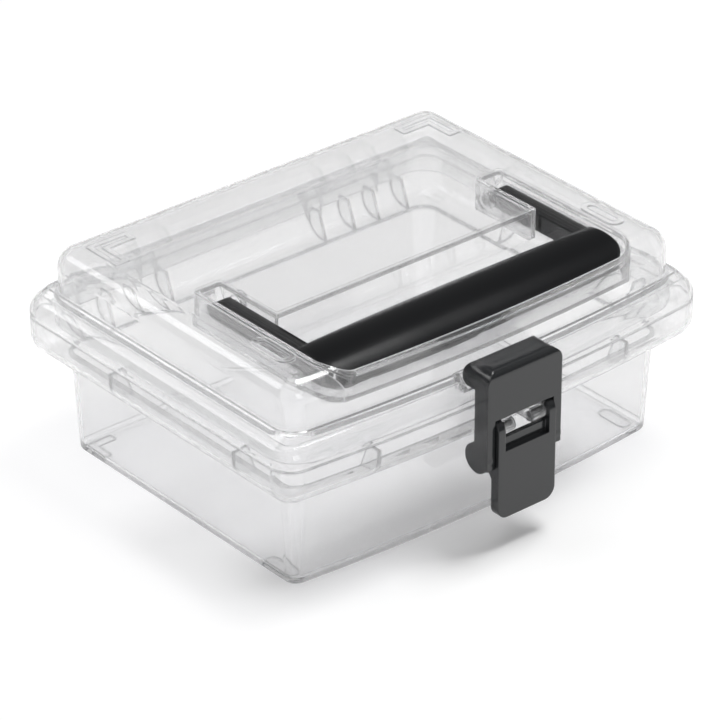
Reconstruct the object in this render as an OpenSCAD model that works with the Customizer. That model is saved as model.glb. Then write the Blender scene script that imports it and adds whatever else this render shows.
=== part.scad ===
// Photo keeper case: a clear hinged box with a folding carry handle
// sunk in its lid and an over-centre latch at the front.
// Millimetres. X runs along the front, -Y is the front, Z is up and
// the origin is the middle of the plane that the feet stand on. The
// parts are drawn about the tub's middle and moved back by shift_y.

/* [Tub] */
// Width of the tub at its foot
tub_w = 225; // [180:1:300]
// Depth of the tub at its foot, at its ends
tub_d = 167; // [140:1:220]
// How far the front bows out at its middle
front_bow = 5.8; // [2:0.1:9]
// Height of the tub's rim above the feet
rim_h = 74.7; // [66:0.1:100]
// Wall thickness of the tub
tub_wall = 2.4; // [1.6:0.1:3.2]
// Floor thickness of the tub
floor_t = 2.6; // [1.8:0.1:4]
// Plan radius of the tub's corners
tub_corner = 7; // [5:0.5:12]
// How far the wall leans out between foot and flange
draft = 3; // [1:0.1:5]
// Height of the feet under the floor
foot_h = 1; // [0.6:0.1:2]

/* [Flange] */
// How far the flange reaches out from the tub's foot line
flange_out = 17.2; // [15:0.1:22]
// Radius of the flange's rolled underside
flange_r = 12; // [9:0.1:13]
// Wall thickness of both flanges
flange_t = 2.2; // [1.6:0.1:2.8]
// Gap between the rims of tub and lid
rim_gap = 0.3; // [0.2:0.05:0.6]

/* [Lid] */
// Height of the lid from its rim to its flat top
lid_h = 37; // [33:0.5:60]
// Wall thickness of the lid
lid_wall = 2.2; // [1.6:0.1:3]
// How far the lid's wall stands outside the tub's foot line
lid_out = 7; // [5:0.1:9]
// Radius of the lid's rounded upper edge
crown_r = 11.5; // [8:0.5:13]
// Height of the ridge of the lid's flange above its rim
ridge_h = 9.9; // [8:0.1:11]

/* [Hinges] */
// Distance of each hinge's middle from the middle of the back
hinge_x = 75.5; // [55:0.5:80]
// Width of each hinge
hinge_w = 55; // [40:1:60]
// Radius of the hinge pins
hinge_pin_r = 2.2; // [1.6:0.1:2.6]
// Radius of the knuckles
knuckle_r = 4.3; // [3.8:0.1:4.6]
// Running clearance of every pin in its bore, on the radius
pin_clear = 0.08; // [0.03:0.01:0.1]

/* [Handle] */
// Width of the handle over its arms
handle_w = 183; // [150:1:200]
// Width of each arm
arm_w = 9.5; // [8:0.1:11]
// Depth of each arm
arm_t = 9; // [7.5:0.1:9.5]
// Distance from the pivots to the grip's front edge at its middle
handle_reach = 89; // [80:1:95]
// Width of the grip from back to front at its middle
grip_d = 35.5; // [28:0.5:40]
// Thickness of the grip's skin
grip_t = 3; // [2:0.1:4]
// Radius of the pivot stubs
stub_r = 2.2; // [1.6:0.1:2.6]
// Gap round the handle in its recess
handle_gap = 2.5; // [1.5:0.1:4]

/* [Recess] */
// Depth of the recess for the handle under the lid's top
recess_h = 15; // [13.5:0.5:20]
// Depth of the finger space behind the grip
finger_d = 22; // [18:0.5:30]
// Wall thickness of the recess
recess_t = 2; // [1.5:0.1:2.6]
// Height of the raised border round the recess
border_h = 1; // [0.4:0.1:2]

/* [Latch] */
// Width of the hook
hook_w = 46; // [38:0.5:56]
// Width of each leg of the hook
leg_w = 4.8; // [4:0.1:6]
// Width of each arm of the lever
lever_arm = 4.1; // [3.5:0.1:6]
// Radius of the latch's pins
latch_pin_r = 1.6; // [1.2:0.1:2]
// Height of the lever's free lower edge above the feet
tab_low = 16.2; // [10:0.1:24]
// Gap between the hook's lip and the ledge that it pulls on
lip_gap = 0.4; // [0.3:0.05:0.6]
// Side gap between lever and hook
latch_gap = 0.4; // [0.3:0.05:0.6]

/* [Hidden] */
hw = tub_w/2;
hd = tub_d/2;
// one circle family carries every bowed front face
Rf = round(10*(hw*hw + front_bow*front_bow)/(2*front_bow))/10;
Yc = Rf - hd - front_bow;
// corner axes, set to a multiple of 0.4 mm: see ring()
function snap(x) = round(x/0.4)*0.4 - hw;
fc = snap(hw + flange_out - flange_r);   // where the rolled flange starts
tc = snap(hw - tub_corner);        // axis of the tub's corners
dc = snap(hw + lid_out - crown_r); // axis of the lid's corners
fr = flange_out - fc;
cr = lid_out - dc;
flange_z = rim_h - 8.7;            // centre of the rolled underside
shelf_z = flange_z - fr;           // underside of the shelf
lid_z = rim_h + rim_gap;           // the lid's rim
top_z = lid_z + lid_h;             // the lid's flat top
crown_z = top_z - cr;
ridge_z = lid_z + ridge_h;
shoulder_z = ridge_z + 4.7;        // the flat step at the foot of the wall
band_r = 10.8;
yF = -(hd + front_bow + flange_out);   // foremost point of the flange
hinge_y = hd + flange_out + 5.3;
hinge_z = lid_z;
pin_gap = 0.4;                     // end gap beside knuckles
// flat plates join curved walls this far inside their surfaces, so that
// no plate lies tangent to a curve
tuck = 0.05;
shift_y = -(yF - 12 + hinge_y + knuckle_r)/2;
// handle
piv_y = yF + 104.5;
piv_z = top_z - 7.5;
grip_y = piv_y - handle_reach;     // foremost point of the grip
hx = handle_w/2;
grip_R = 31.4;
// recess
rec_x = hx + handle_gap;
rec_in = hx - arm_w - 1.4;
rec_z = top_z - recess_h;
rec_back = piv_y + 10;
well_back = grip_y + grip_d + finger_d;
rec_o = -(grip_y - handle_gap) - hd - front_bow;   // offset of its front
// latch
leg_y = yF - 0.5;
hook_y = yF - 9.7;
tab_y = yF - 12;
ax_y = yF - 6.2;
ax_z = rim_h - 12.2;
bx_y = yF - 4;
bx_z = ax_z - 14.9;
ledge_z = ridge_z - 1.4;
hx2 = hook_w/2;
lever_w = hook_w - 2*(leg_w + latch_gap);  // the lever fills the hook's legs
lx = lever_w/2;
win_z = ax_z + 6.6;

// Each front face is an arc that leans by 2*atan(1/20) where its corners
// start. Its sine and cosine are 40/401 and 399/401, so with an axis on
// a multiple of 0.4 mm every number here is a short decimal, and arc and
// corner meet exactly.
function arc_r(oc) = 401*(hw + oc)/40;
function turn_y(oc) = -hd - front_bow - oc + (hw + oc)/20;
function arc_y(oc) = turn_y(oc) + 399*(hw + oc)/40;
module wedge(oc) {
  translate([0, arc_y(oc), -1]) linear_extrude(400)
    polygon([[0, 0], [-160, -1596], [160, -1596]]);
}
module front_arc(oc, a) {
  translate([0, arc_y(oc), 0]) rotate_extrude(angle = 2*a, start = 270 - a, $fn = 720)
    translate([arc_r(oc) - oc, 0]) children();
}
// carries a section (offset, height) right round the case
module ring(oc) {
  xc = hw + oc;
  yb = hd + oc;
  yf = turn_y(oc);
  for (s = [0, 1]) mirror([s, 0, 0]) {
    translate([0, yb, 0]) rotate([90, 0, 0]) linear_extrude(yb - yf)
      translate([hw, 0]) children();
    translate([xc, yb, 0]) rotate_extrude(angle = 90, $fn = 64)
      translate([-oc, 0]) children();
    difference() {
      translate([xc, yf, 0]) mirror([0, 1, 0])
        rotate_extrude(angle = 90, $fn = 64) translate([-oc, 0]) children();
      wedge(oc);
    }
  }
  translate([-xc, 0, 0]) rotate([90, 0, 90]) linear_extrude(2*xc)
    translate([hd, 0]) children();
  intersection() {
    front_arc(oc, 7) children();
    wedge(oc);
  }
}
// the area inside offset oc + g, with square corners
module core2d(oc, g) {
  intersection() {
    translate([0, arc_y(oc)]) circle(arc_r(oc) + g, $fn = 720);
    translate([-(hw + oc + g), -(hd + front_bow + oc + g + 1)])
      square([2*(hw + oc + g), 2*hd + front_bow + 2*oc + 2*g + 1]);
  }
}
// the outline at offset o, with corners turned about offset oc, which
// stand 0.04 mm forward so that their circles cross the front's cleanly
module outline(oc, o) {
  xc = hw + oc;
  yf = turn_y(oc) - 0.04;
  intersection() {
    translate([0, arc_y(oc)]) circle(arc_r(oc) + o - oc, $fn = 720);
    translate([-xc, -(hd + front_bow + o + 1)])
      square([2*xc, 2*hd + front_bow + o + 1 + oc]);
  }
  translate([-(hw + o), yf]) square([2*(hw + o), hd + oc - yf]);
  translate([-xc, 0]) square([2*xc, hd + o]);
  for (s = [-1, 1], y = [yf, hd + oc])
    translate([s*xc, y]) circle(o - oc, $fn = 64);
}
// where a corner turns that joins the arc of radius R about Yc
function rec_turn(R, x) = round(100*(Yc - sqrt(R*R - x*x)))/100 - 0.04;
module core(oc, z0, z1) {
  translate([0, 0, z0 + tuck]) linear_extrude(z1 - z0 - 2*tuck) core2d(oc, 0.5);
}
module rod(x0, x1, y, z, r) {
  translate([x0, y, z]) rotate([0, 90, 0]) cylinder(h = x1 - x0, r = r, $fn = 48);
}
module slab(x0, x1, y0, y1, z0, z1) {
  translate([x0, y0, z0]) cube([x1 - x0, y1 - y0, z1 - z0]);
}
// a side view drawn in (y, z), x0 to x1 thick
module side(x0, x1) {
  translate([x0, 0, 0]) rotate([90, 0, 90]) linear_extrude(x1 - x0) children();
}
module pill2d(w, l) {
  translate([-w/2, -l/2 + w/2]) square([w, l - w]);
  for (s = [-1, 1]) translate([0, s*(l/2 - w/2)]) circle(w/2, $fn = 32);
}

// sections
module tub_section() {
  z0 = foot_h;
  lean = draft/(shelf_z - z0);
  difference() {
    union() {
      translate([tc, z0]) square([-tc - 2.4, 10]);
      translate([-2.4, z0 + 2.5]) circle(2.5, $fn = 32);
      polygon([[tc, z0 + 2.5], [0.1, z0 + 2.5],
               [0.1 + lean*(shelf_z + flange_t - z0 - 2.5), shelf_z + flange_t],
               [tc, shelf_z + flange_t]]);
    }
    polygon([[tc - 1, z0 + floor_t], [-tub_wall - 1.9, z0 + floor_t],
             [-tub_wall + 0.2, z0 + floor_t + 2.1],
             [-tub_wall + lean*(shelf_z + flange_t + 1 - z0), shelf_z + flange_t + 1],
             [tc - 1, shelf_z + flange_t + 1]]);
    translate([tc - 20, 0]) square([20, 200]);
  }
}
module tub_flange_section() {
  difference() {
    union() {
      intersection() {
        translate([fc, flange_z]) circle(fr, $fn = 64);
        translate([fc, shelf_z - 1]) square([fr + 1, fr + 1]);
      }
      translate([fc, flange_z]) square([fr, rim_h - flange_z]);
    }
    translate([fc, flange_z]) circle(fr - flange_t, $fn = 64);
    translate([fc - 1, flange_z]) square([fr - flange_t + 1, 50]);
  }
}
module lid_flange_solid() {
  o1 = flange_out - band_r;
  z1 = lid_z + 1.5;
  ro = o1 + sqrt(pow(band_r, 2) - pow(ridge_z - z1, 2));
  translate([fc, lid_z]) square([fr, 1.5]);
  intersection() {
    translate([o1, z1]) circle(band_r, $fn = 64);
    translate([fc, z1]) square([fr + 1, ridge_z - z1]);
  }
  polygon([[fc, ridge_z - 0.3], [ro - tuck, ridge_z - 0.3], [ro - tuck, ridge_z],
           [ro - 5, shoulder_z], [fc, shoulder_z]]);
}
module lid_flange_section() {
  o1 = flange_out - band_r;
  z1 = lid_z + 1.5;
  ro = o1 + sqrt(pow(band_r, 2) - pow(ridge_z - z1, 2));
  translate([flange_out - flange_t, lid_z]) square([flange_t, 1.5]);
  intersection() {
    translate([o1, z1]) difference() {
      circle(band_r, $fn = 64);
      circle(band_r - flange_t, $fn = 64);
    }
    translate([ro - 3.2, z1]) square([fr, ridge_z - z1]);
  }
  polygon([[ro - 3.2, ridge_z - 0.3], [ro - tuck, ridge_z - 0.3], [ro - tuck, ridge_z],
           [ro - 5, shoulder_z], [fc, shoulder_z], [fc, shoulder_z - flange_t],
           [ro - 5.9, shoulder_z - flange_t], [ro - 3.2, ridge_z]]);
}
// the lid's dome above its flange, g outside its surface
module dome(g, z0) {
  ring(dc) {
    intersection() {
      translate([dc, crown_z]) circle(cr + g, $fn = 64);
      translate([dc, crown_z]) square(cr + g + 1);
    }
    translate([dc, z0]) square([cr + g, crown_z - z0]);
  }
  core(dc, z0, top_z + g);
}

module fin(o0, o1) {
  // a gusset in the hollow of the flange, drawn in (offset, height)
  rotate([90, 0, 0]) translate([0, 0, -0.8]) linear_extrude(1.6)
    polygon([[o0, shelf_z + 1], [o1 - 5.5, shelf_z + 1.4], [o1 - 1.5, flange_z - 5.5],
             [o1, flange_z], [o1, rim_h - 4.2], [o0 + 6, rim_h - 4.2]]);
}
module fins() {
  o0 = 1.5;
  o1 = flange_out - flange_t/2;
  for (s = [-1, 1]) {
    for (x = [-27, -8, 8, 27]) translate([s*hinge_x + x, hd, 0]) rotate([0, 0, 90])
      fin(o0, o1);
    for (y = [31, -61]) translate([s*hw, y, 0]) rotate([0, 0, s > 0 ? 0 : 180])
      fin(o0, o1);
    translate([s*77, -hd - front_bow + 77*77/(2*Rf), 0]) rotate([0, 0, -90]) fin(o0, o1);
  }
}
module ell(x, y, sx, sy, w, l) {
  translate([x, y]) {
    translate([sx > 0 ? -l : 0, sy > 0 ? -w : 0]) square([l, w]);
    translate([sx > 0 ? -w : 0, sy > 0 ? -l : 0]) square([w, l]);
  }
}
module hinge_ear(x0, x1) {
  // one end of a hinge on the tub
  rod(x0, x1, hinge_y, hinge_z, knuckle_r);
  side(x0, x1) polygon([[hd + flange_out - 1.5, rim_h - 14], [hinge_y + 1.5, hinge_z - knuckle_r + 0.3],
    [hinge_y + knuckle_r - 0.2, hinge_z], [hinge_y - 2, hinge_z], [hd + flange_out - 0.2, rim_h],
    [hd + flange_out - 1.5, rim_h]]);
}

module tub() {
  color([0.86, 0.88, 0.9, 0.45]) translate([0, shift_y, 0]) {
    difference() {
      union() {
        ring(tc) tub_section();
        core(tc, foot_h, foot_h + floor_t);
        ring(fc) tub_flange_section();
        translate([0, 0, shelf_z + tuck]) linear_extrude(flange_t - 2*tuck)
          difference() {
            core2d(fc, 0.5);
            outline(tc, draft - tub_wall + 0.2);
          }
        fins();
        // hinge ears with their pins
        for (s = [-1, 1]) {
          x0 = s*hinge_x - hinge_w/2;
          hinge_ear(x0, x0 + 9);
          hinge_ear(x0 + hinge_w - 9, x0 + hinge_w);
          rod(x0 + 8, x0 + hinge_w - 8, hinge_y, hinge_z, hinge_pin_r);
        }
        // latch lugs
        for (s = [-1, 1]) {
          x0 = s > 0 ? 5.5 : -(lx - lever_arm - latch_gap);
          x1 = x0 + lx - lever_arm - latch_gap - 5.5;
          rod(x0, x1, ax_y, ax_z, 3.6);
          slab(x0, x1, ax_y, yF + 2.2, ax_z - 3, ax_z + 3.6);
        }
      }
      rod(-40, 40, ax_y, ax_z, latch_pin_r + pin_clear);
    }
    // feet
    linear_extrude(foot_h + 0.5) {
      for (s = [-1, 1]) {
        ell(s*(hw - 4.5), hd - 4.5, s, 1, 4.5, 15);
        translate([s*(hw - 8), -hd + 17]) pill2d(7, 19);
      }
    }
  }
}

module rec_cut2d(g) {
  rr = 14 + g;
  // space for the grip and the fingers
  intersection() {
    union() {
      translate([0, Yc]) intersection() {
        circle(Rf + rec_o + g, $fn = 720);
        translate([-(rec_x - 14), -Yc - 120]) square([2*(rec_x - 14), 100]);
      }
      yc = rec_turn(Rf + rec_o - 14, rec_x - 14);
      for (s = [-1, 1]) translate([s*(rec_x - 14), yc]) circle(rr, $fn = 96);
      translate([-(rec_x + g), yc]) square([2*(rec_x + g), 200]);
    }
    translate([-200, -200]) square([400, 200 + well_back + g]);
  }
  // the two channels for the arms
  for (s = [0, 1]) mirror([s, 0]) {
    translate([rec_in - g, well_back - 5])
      square([rec_x - rec_in + 2*g, rec_back - well_back + 5 + g - 3]);
    translate([rec_in - g + 3, well_back - 5])
      square([rec_x - rec_in + 2*g - 6, rec_back - well_back + 5 + g]);
    for (x = [rec_in - g + 3, rec_x + g - 3]) translate([x, rec_back + g - 3])
      circle(3, $fn = 32);
  }
}

module lid() {
  cx = hook_w/2 + 1.2;
  oy = yF + flange_out - lid_out - 1.1;  // back of the catch pocket
  color([0.9, 0.92, 0.94, 0.4]) translate([0, shift_y, 0]) difference() {
    union() {
      difference() {
        union() {
          ring(fc) lid_flange_section();
          translate([0, 0, shoulder_z - flange_t + tuck])
            linear_extrude(flange_t - 2*tuck) difference() {
              core2d(fc, 0.5);
              outline(dc, lid_out - 1.1);
            }
          difference() {
            dome(0, shoulder_z - flange_t);
            dome(-lid_wall, shoulder_z - flange_t - 1);
          }
          // locating lip
          ring(tc) translate([8, rim_h - 2.7]) square([1.6, shoulder_z - rim_h + 0.5]);
        }
        slab(-cx, cx, yF - 5, oy, ledge_z, shoulder_z + 6);
      }
      // lining of the catch pocket under the hook
      difference() {
        intersection() {
          front_arc(fc, 3) union() {
            lid_flange_solid();
            translate([4, lid_z]) square([fc - 4, shoulder_z - lid_z]);
          }
          slab(-cx - 2.2, cx + 2.2, yF - 5, oy + 2.2, ledge_z - 2.2, shoulder_z + 6);
        }
        slab(-cx, cx, yF - 5, oy, ledge_z, shoulder_z + 6);
      }
      // walls, floor and border of the recess
      intersection() {
        translate([0, 0, rec_z - recess_t]) linear_extrude(recess_h + recess_t + border_h)
          rec_cut2d(recess_t);
        dome(border_h, shoulder_z - flange_t);
      }
      // bosses for the handle's stubs
      for (s = [-1, 1])
        rod(s > 0 ? rec_in - 5.5 : -rec_in, s > 0 ? rec_in : -rec_in + 5.5,
            piv_y, piv_z, 4.6);
      // stacking pads
      translate([0, 0, top_z - 0.5]) linear_extrude(1.7) for (s = [-1, 1]) {
        difference() {
          ell(s*(hw - 4.5), hd - 8, s, 1, 8, 24);
          ell(s*(hw - 7), hd - 10.5, s, 1, 3, 19);
        }
        difference() {
          translate([s*(hw - 10.5), -hd + 26]) pill2d(10, 26);
          translate([s*(hw - 10.5), -hd + 26]) pill2d(4.5, 20);
        }
      }
      // knuckles that snap over the tub's hinge pins
      for (s = [-1, 1]) {
        x0 = s*hinge_x - hinge_w/2 + 9 + pin_gap;
        x1 = x0 + hinge_w - 18 - 2*pin_gap;
        rod(x0, x1, hinge_y, hinge_z, knuckle_r);
        side(x0, x1) polygon([[hd + flange_out - 1.2, hinge_z + 0.2], [hinge_y - 1, hinge_z + 0.2],
          [hinge_y, hinge_z + knuckle_r], [hd + flange_out - 1.8, hinge_z + knuckle_r + 2.2]]);
      }
    }
    translate([0, 0, rec_z]) linear_extrude(60) rec_cut2d(0);
    for (s = [-1, 1])
      rod(s > 0 ? rec_in - 4.5 : -rec_in - 1, s > 0 ? rec_in + 1 : -rec_in + 4.5,
          piv_y, piv_z, stub_r + pin_clear);
    // bores and snap slots of the knuckles
    for (s = [-1, 1]) {
      x0 = s*hinge_x - hinge_w/2 + 9;
      rod(x0, x0 + hinge_w - 18, hinge_y, hinge_z, hinge_pin_r + pin_clear);
      translate([0, hinge_y, hinge_z]) rotate([-48, 0, 0])
        slab(x0, x0 + hinge_w - 18, 0, 8, -1.75, 1.75);
    }
  }
}

module handle() {
  gy = grip_y + grip_d;             // back edge at the middle
  color([0.09, 0.1, 0.11]) translate([0, shift_y, 0]) {
    // the grip: a crowned skin with a rim all round
    difference() {
      intersection() {
        side(-hx, hx) intersection() {
          translate([gy - 13.5, top_z - 0.5 - grip_R]) circle(grip_R, $fn = 180);
          translate([grip_y - 5, rec_z + 2.3]) square([grip_d + 40, 40]);
        }
        translate([0, 0, rec_z]) linear_extrude(40) grip2d(0);
      }
      intersection() {
        side(-hx, hx) translate([gy - 13.5, top_z - 0.5 - grip_R])
          circle(grip_R - grip_t, $fn = 180);
        translate([0, 0, rec_z - 1]) linear_extrude(40) grip2d(2.2);
      }
    }
    for (s = [0, 1]) mirror([s, 0, 0]) difference() {
      union() {
        side(hx - arm_w, hx) {
          translate([piv_y, piv_z]) circle(arm_t/2, $fn = 64);
          translate([gy - 14, piv_z - arm_t/2]) square([piv_y - gy + 14, arm_t]);
        }
        rod(hx - arm_w - 5.2, hx - arm_w + 1, piv_y, piv_z, stub_r);
      }
      for (x = [2.4, 4.75, 7.1]) translate([hx - arm_w + x, gy - 2, piv_z + arm_t/2])
        rotate([-90, 0, 0]) cylinder(h = 80, r = 0.55, $fn = 16);
    }
  }
}
module grip2d(g) {
  fo = -grip_y - hd - front_bow;
  r = 11;
  intersection() {
    union() {
      yc = rec_turn(Rf + fo - r, hx - r);
      intersection() {
        translate([0, Yc]) circle(Rf + fo - g, $fn = 720);
        translate([-(hx - r), -200]) square([2*(hx - r), 200]);
      }
      for (s = [-1, 1]) translate([s*(hx - r), yc]) circle(r - g, $fn = 64);
      translate([-(hx - g), yc]) square([2*(hx - g), 100]);
    }
    translate([0, grip_y + grip_d - 1000]) circle(1000 - g, $fn = 900);
  }
}

module latch_lever() {
  color([0.1, 0.11, 0.12]) translate([0, shift_y, 0]) {
    low = tab_low;
    mid = ax_z - 10;               // top of the flush plate
    difference() {
      union() {
        // plate with rounded lower corners
        rotate([90, 0, 0]) translate([0, 0, -tab_y - 5]) linear_extrude(5) {
          translate([-lx, low + 6]) square([lever_w, mid - low - 6]);
          translate([-lx + 6, low]) square([lever_w - 12, 10]);
          for (s = [-1, 1]) translate([s*(lx - 6), low + 6]) circle(6, $fn = 48);
        }
        // recessed crossbar
        slab(-lx, lx, tab_y + 2.6, tab_y + 5, mid - 1, ax_z - 4.2);
        for (s = [0, 1]) mirror([s, 0, 0]) {
          // arm up to the pivot on the tub, cheek back to the hook's pin
          side(lx - lever_arm, lx) {
            translate([ax_y, ax_z]) circle(4.1, $fn = 48);
            intersection() {
              translate([ax_y, ax_z]) circle(ax_y - tab_y, $fn = 64);
              translate([tab_y, ax_z]) square([ax_y - tab_y, 10]);
            }
            translate([tab_y, mid - 1]) square([ax_y - tab_y + 1.2, ax_z - mid + 1]);
            translate([bx_y, bx_z]) circle(4.4, $fn = 48);
            polygon([[tab_y + 4, mid], [ax_y + 1.2, mid], [bx_y + 3.4, bx_z + 2.8],
                     [bx_y + 2.6, bx_z - 3.5], [tab_y + 4, bx_z - 12]]);
          }
          rod(5.9, lx - 1, ax_y, ax_z, latch_pin_r);
          rod(lx - 1, lx + leg_w - 0.8, bx_y, bx_z, latch_pin_r);
        }
      }
      // thumb hollow behind the plate
      slab(-lx + 7, lx - 7, tab_y + 3, tab_y + 9, low + 5, mid - 4);
    }
  }
}

module latch_hook() {
  color([0.1, 0.11, 0.12]) translate([0, shift_y, 0]) {
    z1 = top_z - 17;               // top of the hook
    back = oy_hook();
    difference() {
      union() {
        intersection() {
          // side view of roof, lip and front
          side(-hx2, hx2) {
            translate([hook_y + 4, ledge_z + lip_gap]) square([back - hook_y - 8, z1 - ledge_z - lip_gap]);
            translate([hook_y, ledge_z - 30]) square([9.2, z1 - 4 - ledge_z + 30]);
            translate([hook_y + 4, z1 - 4]) circle(4, $fn = 48);
            translate([back - 4, z1 - 4]) circle(4, $fn = 48);
            translate([back - 4.1, ledge_z + lip_gap]) square([4.1, z1 - 4 - ledge_z - lip_gap]);
          }
          // front view: well rounded upper corners
          rotate([90, 0, 0]) translate([0, 0, -back - 10]) linear_extrude(60) {
            translate([-hx2, 0]) square([hook_w, z1 - 7]);
            translate([-hx2 + 7, 0]) square([hook_w - 14, z1]);
            for (s = [-1, 1]) translate([s*(hx2 - 7), z1 - 7]) circle(7, $fn = 48);
          }
        }
        for (s = [0, 1]) mirror([s, 0, 0]) side(hx2 - leg_w, hx2) {
          translate([hook_y, bx_z - 4.2]) square([leg_y - hook_y, z1 - 12 - bx_z]);
          translate([bx_y + 1.9, bx_z + 0.2]) circle(7.8, $fn = 64);
        }
      }
      // the space between the legs, and the window
      slab(-hx2 + leg_w, hx2 - leg_w, hook_y - 1, back + 1, 0, win_z);
      slab(-hx2 + leg_w, hx2 - leg_w, hook_y + 3, leg_y + 3, 0, ledge_z - 2);
      rod(-hx2 + 0.9, hx2 - 0.9, bx_y, bx_z, latch_pin_r + pin_clear);
    }
  }
}
function oy_hook() = yF + flange_out - lid_out - 1.1 - 0.9;

tub();
lid();
handle();
latch_lever();
latch_hook();
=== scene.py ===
"""Photo keeper case: a clear hinged box with a black folding handle and a black draw latch.

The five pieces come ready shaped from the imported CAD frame. This script gives them their plastics,
and sets a pale floor, a bright room, soft lamps and a camera round them.
"""

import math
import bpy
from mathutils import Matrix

bl_info = {
    "name": "Photo keeper case",
    "version": (1, 0, 0),
    "blender": (4, 5, 0),
    "location": "View3D > Sidebar > Case",
    "description": "Finishes a clear plastic case round its CAD frame",
    "category": "Object",
}

import bpy
from mathutils import Vector

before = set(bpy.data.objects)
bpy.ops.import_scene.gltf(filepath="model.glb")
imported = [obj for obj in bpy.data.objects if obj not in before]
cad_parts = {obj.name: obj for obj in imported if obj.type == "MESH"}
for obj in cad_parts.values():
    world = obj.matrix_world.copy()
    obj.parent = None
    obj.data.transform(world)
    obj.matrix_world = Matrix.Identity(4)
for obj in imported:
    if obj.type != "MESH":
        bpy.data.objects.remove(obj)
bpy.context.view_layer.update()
MIDDLE = 0.5  # the value that a noise varies round

# Clear plastic, with lengths in metres

CLEAR_IOR = 1.49
UNBENT_SHARE = 0.16  # share of the light that passes a wall without bending
FLOW_SCALE = 9.0  # broad waves that the melt leaves as it fills the mould
FLOW_STRETCH = (1.0, 1.0, 2.5)
FLOW_ROUGHNESS = 0.03  # how far the waves change the roughness
FLOW_HAZE = 0.016  # how far they change the haze
SCUFF_SCALE = 260.0  # fine scuffs
SCUFF_ROUGHNESS = 0.03
# Painted edge marks: painted shade along the tub's edges, darkest at the floor, and a painted
# highlight along the lid's edges
PAINTED_EDGE_SHARE = 0.55  # how much the painted edge colour, shade on the tub and highlight on the lid, hides of what is behind it
FOOT_SHADE_BAND = 0.004  # height over which an edge at the floor takes more painted shade
FOOT_SHADE_GAIN = 2.0  # how much stronger the painted shade grows there
FOOT_SHADE_SHARE = 0.35  # how much more such an edge's painted shade hides
TUB_SHADE_GAIN = 4.2  # how fast the painted shade grows towards an edge of the tub
# how fast the painted highlight grows towards an edge of the lid
LID_HIGHLIGHT_GAIN = 3.4
LAMP_TINT = (0.962, 0.962, 0.966)  # what one face leaves of the light of a lamp

# Black plastic, with lengths in metres

BLACK_NODES = ("handle", "latch_lever", "latch_hook")
BLACK_IOR = 1.6
CLOUD_SCALE = 14.0  # broad clouds in the colour and the gloss
CLOUD_ROUGHNESS = 0.10
CLOUD_GAIN = 1.7  # how much lighter a cloud is than the colour
GRAIN_SCALE = 2400.0  # very fine grain
GRAIN_ROUGHNESS = 0.05
BLACK_EDGE = 0.0008  # radius that the edges seem to have

# Stage, with places and lengths in metres

WHITE = (1.0, 1.0, 1.0)
FLOOR_LIFT = 0.12  # glow that brings the lit floor near white
FADE_START = 0.40  # distance from the middle at which the floor starts to turn plain white
FADE_RATE = 1.4  # share of white gained in each metre from there
LAMP_AIM = (0.0, 0.0, 0.05)
LAMPS = {  # place, sides, watts
    "key": ((0.62, -0.10, 2.00), (0.7, 0.7), 24.0),
    "top": ((-0.1, 0.25, 2.1), (1.8, 1.8), 15.5),
    "right_front": ((1.45, -1.25, 1.65), (1.1, 1.1), 0.5),
    "front": ((-0.5, -2.1, 1.1), (1.2, 1.0), 9.0),
    "back_left": ((-1.2, 1.55, 1.3), (0.7, 0.7), 4.5),
}


# Shader maths


class Wire:
    """A node's output that can be used in a Python expression."""

    def __init__(self, graph, socket):
        self.graph = graph
        self.socket = socket

    def maths(self, operation, first, second, **settings):
        return self.graph.node(
            "ShaderNodeMath", {"operation": operation, **settings}, {0: first, 1: second}
        )

    def __add__(self, other):
        return self.maths("ADD", self, other)

    def __radd__(self, other):
        return self.maths("ADD", other, self)

    def __sub__(self, other):
        return self.maths("SUBTRACT", self, other)

    def __rsub__(self, other):
        return self.maths("SUBTRACT", other, self)

    def __mul__(self, other):
        return self.maths("MULTIPLY", self, other)

    def __rmul__(self, other):
        return self.maths("MULTIPLY", other, self)

    def held(self):
        """The value kept between 0 and 1."""
        return self.maths("ADD", self, 0.0, use_clamp=True)


class Graph:
    """The node tree of a material or a world, filled in by expressions."""

    def __init__(self, owner):
        owner.use_nodes = True
        self.owner = owner
        self.tree = owner.node_tree
        self.tree.nodes.clear()

    def node(self, kind, settings=None, sockets=None, out=0):
        made = self.tree.nodes.new(kind)
        for name, value in (settings or {}).items():
            setattr(made, name, value)
        for name, value in (sockets or {}).items():
            if isinstance(value, Wire):
                self.tree.links.new(value.socket, made.inputs[name])
            else:
                made.inputs[name].default_value = value
        return Wire(self, made.outputs[out]) if made.outputs else None

    def place(self):
        return self.node("ShaderNodeTexCoord", out="Object")

    def noise(self, scale, detail, roughness, stretch=None):
        spot = self.place()
        if stretch:
            spot = self.node("ShaderNodeMapping", None, {"Vector": spot, "Scale": stretch})
        return self.node(
            "ShaderNodeTexNoise",
            None,
            {"Vector": spot, "Scale": scale, "Detail": detail, "Roughness": roughness},
        )

    def ray(self, kind):
        """1 for rays of one kind and 0 for all others."""
        return self.node("ShaderNodeLightPath", out=f"Is {kind} Ray")

    def mix(self, share, first, second):
        """The first shader with a share of the second in its place."""
        return self.node("ShaderNodeMixShader", None, {0: share, 1: first, 2: second})

    def blend(self, share, first, second):
        """The first colour with a share of the second in its place."""
        return self.node(
            "ShaderNodeMix", {"data_type": "RGBA"}, {0: share, 6: first, 7: second}, out=2
        )

    def coloured(self, kind, rgb, sockets=None):
        """A shader or a light of one colour."""
        return self.node(kind, None, {"Color": opaque(rgb), **(sockets or {})})

    def finish(self, shader, output="ShaderNodeOutputMaterial"):
        self.node(output, None, {"Surface": shader})
        return self.owner


def opaque(rgb):
    return (*rgb, 1.0)


def new_material(name, viewport):
    made = bpy.data.materials.new(name)
    made.diffuse_color = viewport
    return made


# Settings


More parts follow.
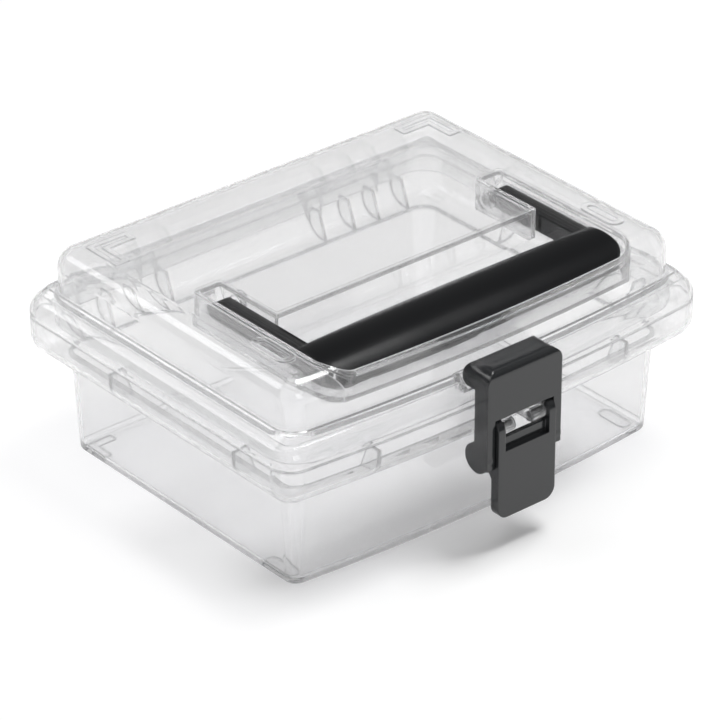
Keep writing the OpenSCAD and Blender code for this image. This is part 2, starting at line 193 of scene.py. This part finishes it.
def colour_setting(name, description, default):
    return bpy.props.FloatVectorProperty(
        name=name,
        description=description,
        subtype="COLOR",
        size=3,
        min=0.0,
        max=1.0,
        default=default,
    )


def share_setting(name, description, default):
    return bpy.props.FloatProperty(
        name=name, description=description, min=0.0, max=1.0, default=default
    )


def length_setting(name, description, default, low=0.0):
    return bpy.props.FloatProperty(
        name=name, description=description, unit="LENGTH", min=low, default=default
    )


def angle_setting(name, description, degrees):
    return bpy.props.FloatProperty(
        name=name, description=description, subtype="ANGLE", default=math.radians(degrees)
    )


class CaseClearPlastic(bpy.types.PropertyGroup):
    tint: colour_setting(
        "Tint", "Colour of light that has passed one face of the clear plastic", (0.985, 0.985, 0.987)
    )
    haze_colour: colour_setting(
        "Haze colour", "The plastic's own faint milky colour", (0.93, 0.93, 0.935)
    )
    haze: share_setting("Haze", "How much of the milky colour shows on a flat face", 0.032)
    gloss: share_setting("Gloss roughness", "Roughness of the moulded gloss", 0.03)
    # Painted shade: a dark colour laid along the tub's edges, darkest at the floor
    tub_painted_shade: colour_setting(
        "Tub edge colour", "Colour that gathers along the tub's edges", (0.13, 0.135, 0.145)
    )
    tub_painted_shade_width: length_setting("Tub edge width", "Width of the tub's edge colour", 0.0018)
    # Painted highlight: a pale colour laid along the lid's edges
    lid_painted_highlight: colour_setting(
        "Lid edge colour", "Colour that gathers along the lid's edges", (0.86, 0.865, 0.875)
    )
    lid_painted_highlight_width: length_setting("Lid edge width", "Width of the lid's edge colour", 0.0010)


class CaseBlackPlastic(bpy.types.PropertyGroup):
    handle: colour_setting(
        "Handle colour", "Colour of the handle's black plastic", (0.0018, 0.0021, 0.0027)
    )
    latch: colour_setting(
        "Latch colour", "Colour of the latch's black plastic", (0.012, 0.013, 0.014)
    )
    sheen: share_setting("Roughness", "Mean roughness of the black plastic", 0.16)


class CaseStage(bpy.types.PropertyGroup):
    floor: colour_setting("Floor colour", "Colour of the pale floor", (0.93, 0.93, 0.93))
    floor_size: length_setting("Floor size", "Length of the floor's side", 12.0, low=1.0)
    room: share_setting("Room light", "Strength of the soft light from all round", 0.13)
    azimuth: angle_setting(
        "Camera azimuth", "Turn of the camera about the case, 0 looking at its front", -40.22
    )
    elevation: angle_setting("Camera elevation", "Height of the camera above the horizon", 29.92)
    distance: length_setting(
        "Camera distance", "Distance from the camera to the point it looks at", 2.1524, low=0.5
    )
    lens: bpy.props.FloatProperty(
        name="Lens",
        description="Focal length of the camera in millimetres",
        min=10.0,
        default=223.1,
    )
    aim: bpy.props.FloatVectorProperty(
        name="Aim",
        description="Point that the camera looks at",
        subtype="XYZ",
        unit="LENGTH",
        size=3,
        default=(-0.00247, 0.0032, 0.04551),
    )


# Materials


def painted_edge_masks(graph, painted_edge_width):
    """How far an edge close by rounds the surface, and a mask that fades from 1 at the floor to 0:
    these place the painted edge colour and its painted shade at the floor.
    """
    rounded = graph.node("ShaderNodeBevel", {"samples": 3}, {"Radius": painted_edge_width})
    flat = graph.node("ShaderNodeNewGeometry", out="True Normal")
    along = graph.node(
        "ShaderNodeVectorMath", {"operation": "DOT_PRODUCT"}, {0: rounded, 1: flat}, out="Value"
    )
    height = graph.node("ShaderNodeSeparateXYZ", None, {0: graph.place()}, out="Z")
    foot_shade = (FOOT_SHADE_BAND - height) * (1.0 / FOOT_SHADE_BAND)
    return 1.0 - along, foot_shade.held()


def clear_plastic(name, painted_edge_colour, painted_edge_width, painted_edge_gain):
    """Moulded clear plastic: glossy walls that bend light, faint haze, scuffs, and a painted colour
    along the edges: shade on the tub, a highlight on the lid.
    """
    look = bpy.context.scene.case_clear
    graph = Graph(new_material(name, viewport=(0.85, 0.88, 0.9, 0.35)))
    flow = graph.noise(FLOW_SCALE, detail=3.0, roughness=0.5, stretch=FLOW_STRETCH)
    scuff = graph.noise(SCUFF_SCALE, detail=4.0, roughness=0.65)
    rough = look.gloss + (scuff - MIDDLE) * SCUFF_ROUGHNESS + (flow - MIDDLE) * FLOW_ROUGHNESS
    ripple = graph.node(
        "ShaderNodeBump", None, {"Strength": 0.06, "Distance": 0.001, "Height": flow}
    )
    body = graph.node(
        "ShaderNodeBsdfPrincipled",
        None,
        {
            "Base Color": opaque(look.tint),
            "Roughness": rough.held(),
            "IOR": CLEAR_IOR,
            "Transmission Weight": 1.0,
            "Normal": ripple,
        },
    )
    wall = graph.mix(UNBENT_SHARE, body, graph.coloured("ShaderNodeBsdfTransparent", look.tint))
    haze = look.haze + (flow - MIDDLE) * FLOW_HAZE
    milky = graph.mix(
        haze.held(), wall, graph.coloured("ShaderNodeBsdfDiffuse", look.haze_colour)
    )
    # The edge colour is painted light: painted shade along the tub's edges, strongest at the floor,
    # and a painted highlight along the lid's.
    near_edge, foot_shade = painted_edge_masks(graph, painted_edge_width)
    painted_edge_strength = (near_edge * painted_edge_gain * (1.0 + foot_shade * FOOT_SHADE_GAIN)).held()
    painted_edge_cover = (painted_edge_strength * (PAINTED_EDGE_SHARE + foot_shade * FOOT_SHADE_SHARE)).held()
    shell = graph.mix(painted_edge_cover, milky, graph.coloured("ShaderNodeBsdfDiffuse", painted_edge_colour))
    # A lamp's light reaches a matt surface by shadow rays, which go straight through the walls. The
    # rays that a matt surface sends out do so too, or that light would be counted twice.
    unbent = graph.coloured("ShaderNodeBsdfTransparent", LAMP_TINT)
    seen = graph.mix(graph.ray("Diffuse"), shell, unbent)
    return graph.finish(graph.mix(graph.ray("Shadow"), seen, unbent))


def black_plastic(name, plain_colour):
    """Black moulded plastic: a soft sheen with broad clouds, a very fine grain and softened edges."""
    look = bpy.context.scene.case_black
    graph = Graph(new_material(name, viewport=(0.02, 0.02, 0.022, 1.0)))
    cloud = graph.noise(CLOUD_SCALE, detail=3.0, roughness=0.55)
    grain = graph.noise(GRAIN_SCALE, detail=2.0, roughness=0.6)
    rough = look.sheen + (cloud - MIDDLE) * CLOUD_ROUGHNESS + (grain - MIDDLE) * GRAIN_ROUGHNESS
    lighter = [part * CLOUD_GAIN for part in plain_colour]
    shade = graph.blend(cloud, opaque(plain_colour), opaque(lighter))
    softened = graph.node("ShaderNodeBevel", {"samples": 6}, {"Radius": BLACK_EDGE})
    grained = graph.node(
        "ShaderNodeBump",
        None,
        {"Strength": 0.12, "Distance": 0.0001, "Height": grain, "Normal": softened},
    )
    surface = graph.node(
        "ShaderNodeBsdfPrincipled",
        None,
        {"Base Color": shade, "Roughness": rough.held(), "IOR": BLACK_IOR, "Normal": grained},
    )
    return graph.finish(surface)


def dress(piece, material):
    """Gives the whole piece one material."""
    if not piece.material_slots:
        piece.data.materials.append(material)
    for slot in piece.material_slots:
        slot.material = material


# Stage


def pale_floor(look):
    """A matt floor that takes the case's shadow and turns plain white further out."""
    bpy.ops.mesh.primitive_plane_add(size=look.floor_size, location=(0.0, 0.0, 0.0))
    floor = bpy.context.object
    floor.name = "floor"
    graph = Graph(new_material("pale_floor", viewport=opaque(look.floor)))
    matt = graph.coloured("ShaderNodeBsdfDiffuse", look.floor)
    lift = graph.coloured("ShaderNodeEmission", WHITE, {"Strength": FLOOR_LIFT})
    lit = graph.node("ShaderNodeAddShader", None, {0: matt, 1: lift})
    reach = graph.node(
        "ShaderNodeVectorMath", {"operation": "LENGTH"}, {0: graph.place()}, out="Value"
    )
    far = ((reach - FADE_START) * FADE_RATE).held()
    shown = graph.mix(far, lit, graph.coloured("ShaderNodeEmission", WHITE, {"Strength": 1.0}))
    dress(floor, graph.finish(graph.mix(graph.ray("Diffuse"), shown, matt)))


def soft_room(look):
    """A room that is white behind and through the case, and lights it only faintly."""
    bpy.context.scene.world = bpy.data.worlds.new("soft_room")
    graph = Graph(bpy.context.scene.world)
    seen = (graph.ray("Camera") + graph.ray("Transmission")).held()
    glow = seen * (1.0 - look.room) + look.room
    room = graph.coloured("ShaderNodeBackground", WHITE, {"Strength": glow})
    graph.finish(room, "ShaderNodeOutputWorld")


def softbox(name, place, sides, watts):
    """A rectangular lamp that faces the case."""
    bpy.ops.object.light_add(type="AREA", location=place)
    lamp = bpy.context.object
    lamp.name = name
    lamp.rotation_euler = (Vector(LAMP_AIM) - Vector(place)).to_track_quat("-Z", "Y").to_euler()
    lamp.data.shape = "RECTANGLE"
    lamp.data.size, lamp.data.size_y = sides
    lamp.data.energy = watts


def photo_camera(look):
    """The camera at the photograph's viewing angle."""
    back = Vector(
        (
            math.sin(look.azimuth) * math.cos(look.elevation),
            -math.cos(look.azimuth) * math.cos(look.elevation),
            math.sin(look.elevation),
        )
    )
    bpy.ops.object.camera_add(location=Vector(look.aim) + back * look.distance)
    camera = bpy.context.object
    camera.name = "camera"
    camera.rotation_mode = "QUATERNION"
    camera.rotation_quaternion = (-back).to_track_quat("-Z", "Y")
    camera.data.lens = look.lens
    camera.data.sensor_width = 36.0
    camera.data.clip_start = 0.1
    camera.data.clip_end = 50.0
    bpy.context.scene.camera = camera


# Operators


class CASE_OT_clear_shells(bpy.types.Operator):
    """Gives the tub and the lid their clear plastic"""

    bl_idname = "case.clear_shells"
    bl_label = "Clear tub and lid"

    def execute(self, context):
        look = context.scene.case_clear
        # The tub's edges get painted shade, the lid's edges a painted highlight.
        tub = clear_plastic("clear_tub", look.tub_painted_shade, look.tub_painted_shade_width, TUB_SHADE_GAIN)
        lid = clear_plastic("clear_lid", look.lid_painted_highlight, look.lid_painted_highlight_width, LID_HIGHLIGHT_GAIN)
        dress(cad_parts["tub"], tub)
        dress(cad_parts["lid"], lid)
        return {"FINISHED"}


class CASE_OT_black_parts(bpy.types.Operator):
    """Gives the handle and the latch their black plastic"""

    bl_idname = "case.black_parts"
    bl_label = "Black handle and latch"

    def execute(self, context):
        look = context.scene.case_black
        for name in BLACK_NODES:
            plain_colour = look.handle if name == "handle" else look.latch
            dress(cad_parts[name], black_plastic(f"black_{name}", plain_colour))
        return {"FINISHED"}


class CASE_OT_stage(bpy.types.Operator):
    """Lays the floor and sets the room, the lamps and the camera"""

    bl_idname = "case.stage"
    bl_label = "Stage"

    def execute(self, context):
        look = context.scene.case_stage
        context.scene.view_settings.view_transform = "Standard"
        # Light crosses many clear walls before it leaves the case.
        context.scene.cycles.transparent_max_bounces = 48
        context.scene.cycles.max_bounces = 24
        context.scene.cycles.transmission_bounces = 24
        pale_floor(look)
        soft_room(look)
        for name, (place, sides, watts) in LAMPS.items():
            softbox(name, place, sides, watts)
        photo_camera(look)
        return {"FINISHED"}


class CASE_PT_panel(bpy.types.Panel):
    """Lists the case's operators and settings"""

    bl_label = "Photo keeper case"
    bl_idname = "CASE_PT_panel"
    bl_space_type = "VIEW_3D"
    bl_region_type = "UI"
    bl_category = "Case"

    def draw(self, context):
        for operator in OPERATORS:
            self.layout.operator(operator.bl_idname)
        for group in SETTINGS:
            settings = getattr(context.scene, group)
            box = self.layout.box()
            for name in settings.__annotations__:
                box.prop(settings, name)


OPERATORS = (CASE_OT_clear_shells, CASE_OT_black_parts, CASE_OT_stage)
SETTINGS = {
    "case_clear": CaseClearPlastic,
    "case_black": CaseBlackPlastic,
    "case_stage": CaseStage,
}


def register():
    for cls in (*SETTINGS.values(), *OPERATORS, CASE_PT_panel):
        bpy.utils.register_class(cls)
    for name, cls in SETTINGS.items():
        setattr(bpy.types.Scene, name, bpy.props.PointerProperty(type=cls))


def unregister():
    for name in SETTINGS:
        delattr(bpy.types.Scene, name)
    for cls in (CASE_PT_panel, *reversed(OPERATORS), *SETTINGS.values()):
        bpy.utils.unregister_class(cls)


def main():
    register()
    bpy.ops.object.select_all(action="DESELECT")
    bpy.ops.case.clear_shells()
    bpy.ops.case.black_parts()
    bpy.ops.case.stage()


if __name__ == "__main__":
    main()
